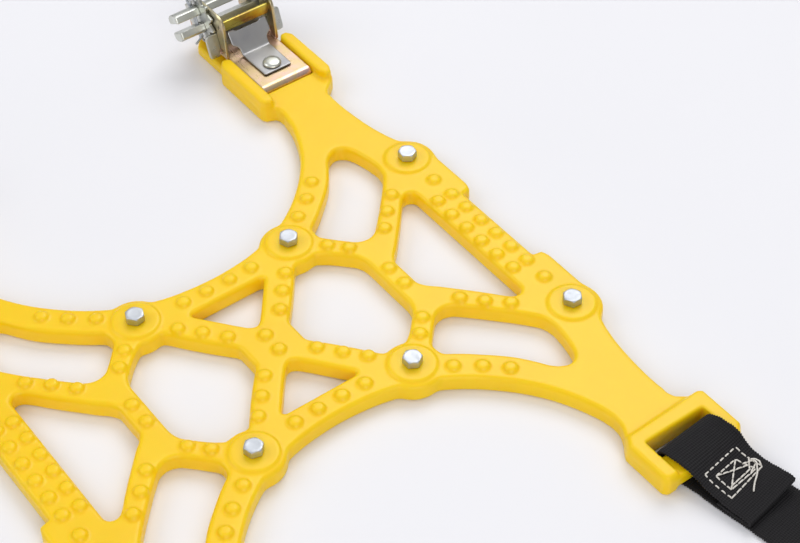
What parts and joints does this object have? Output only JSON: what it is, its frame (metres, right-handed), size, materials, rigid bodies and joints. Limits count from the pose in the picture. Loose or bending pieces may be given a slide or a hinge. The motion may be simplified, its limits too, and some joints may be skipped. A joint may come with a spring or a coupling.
{
  "type": "tire snow chain",
  "caption": "Studded elastomer tyre traction lattice with ratchet buckles on one pair of arms and sewn webbing straps on the other.",
  "frame": {"origin": "centre of the lattice crossing on its flat underside", "axes": "+Z away from the tyre, toward the studs; +Y toward the ratchet buckles; +X across the lattice, mirror plane at X = 0"},
  "size_m": [0.3024, 0.5935, 0.0349],
  "materials": {
    "traction_elastomer": "glossy moulded thermoplastic elastomer, yellow",
    "stud_steel": "bright zinc-plated steel",
    "bright_zinc": "clear zinc-plated steel",
    "yellow_zinc": "yellow zinc-plated sheet steel with pink and green interference tints",
    "spring_steel": "satin spring steel",
    "ratchet_steel": "stamped and plated steel",
    "webbing": "black ribbed polyester webbing with off-white thread"
  },
  "bodies": {
    "root": {"traction_body": "traction_elastomer", "stud_rear_1": "stud_steel", "stud_rear_2": "stud_steel", "stud_rear_3": "stud_steel", "stud_rear_4": "stud_steel", "stud_front_1": "stud_steel", "stud_front_2": "stud_steel", "stud_front_3": "stud_steel", "stud_front_4": "stud_steel", "stud_nut_rear_1": "bright_zinc", "stud_nut_rear_2": "bright_zinc", "stud_nut_rear_3": "bright_zinc", "stud_nut_rear_4": "bright_zinc", "stud_nut_front_1": "bright_zinc", "stud_nut_front_2": "bright_zinc", "stud_nut_front_3": "bright_zinc", "stud_nut_front_4": "bright_zinc", "ratchet_frame_right": "yellow_zinc", "frame_tie_bar_right": "yellow_zinc", "pawl_spring_right": "spring_steel", "base_rivet_right": "bright_zinc", "rivet_washer_right": "bright_zinc", "strap_loop_right": "webbing", "ratchet_frame_left": "yellow_zinc", "frame_tie_bar_left": "yellow_zinc", "pawl_spring_left": "spring_steel", "base_rivet_left": "bright_zinc", "rivet_washer_left": "bright_zinc", "strap_loop_left": "webbing"},
    "drum_right": {"axle_bar_lower_right": "bright_zinc", "axle_bar_upper_right": "bright_zinc", "wheel_inboard_right": "ratchet_steel", "wheel_outboard_right": "ratchet_steel", "cotter_inboard_right": "stud_steel", "cotter_outboard_right": "stud_steel"},
    "pawl_right": {"pawl_plate_right": "ratchet_steel"},
    "strap_right": {"strap_tail_right": "webbing"},
    "drum_left": {"axle_bar_lower_left": "bright_zinc", "axle_bar_upper_left": "bright_zinc", "wheel_inboard_left": "ratchet_steel", "wheel_outboard_left": "ratchet_steel", "cotter_inboard_left": "stud_steel", "cotter_outboard_left": "stud_steel"},
    "pawl_left": {"pawl_plate_left": "ratchet_steel"},
    "strap_left": {"strap_tail_left": "webbing"}
  },
  "joints": [
    {"name": "drum_spin_right", "type": "hinge", "parent": "root", "child": "drum_right", "pos_m": [0.096, 0.1777, 0.0229], "axis": [1, 0, 0], "continuous": true},
    {"name": "pawl_release_right", "type": "slide", "parent": "root", "child": "pawl_right", "axis": [0, -0.3453, -0.9385], "range_m": [0, 0.0026]},
    {"name": "strap_swing_right", "type": "hinge", "parent": "root", "child": "strap_right", "pos_m": [0.0986, -0.154, 0.0042], "axis": [-0.9877, -0.1564, 0], "range_deg": [-80, 85]},
    {"name": "drum_spin_left", "type": "hinge", "parent": "root", "child": "drum_left", "pos_m": [-0.096, 0.1777, 0.0229], "axis": [1, 0, 0], "continuous": true},
    {"name": "pawl_release_left", "type": "slide", "parent": "root", "child": "pawl_left", "axis": [0, -0.3453, -0.9385], "range_m": [0, 0.0026]},
    {"name": "strap_swing_left", "type": "hinge", "parent": "root", "child": "strap_left", "pos_m": [-0.0986, -0.154, 0.0042], "axis": [-0.9877, 0.1564, 0], "range_deg": [-80, 85]}
  ]
}
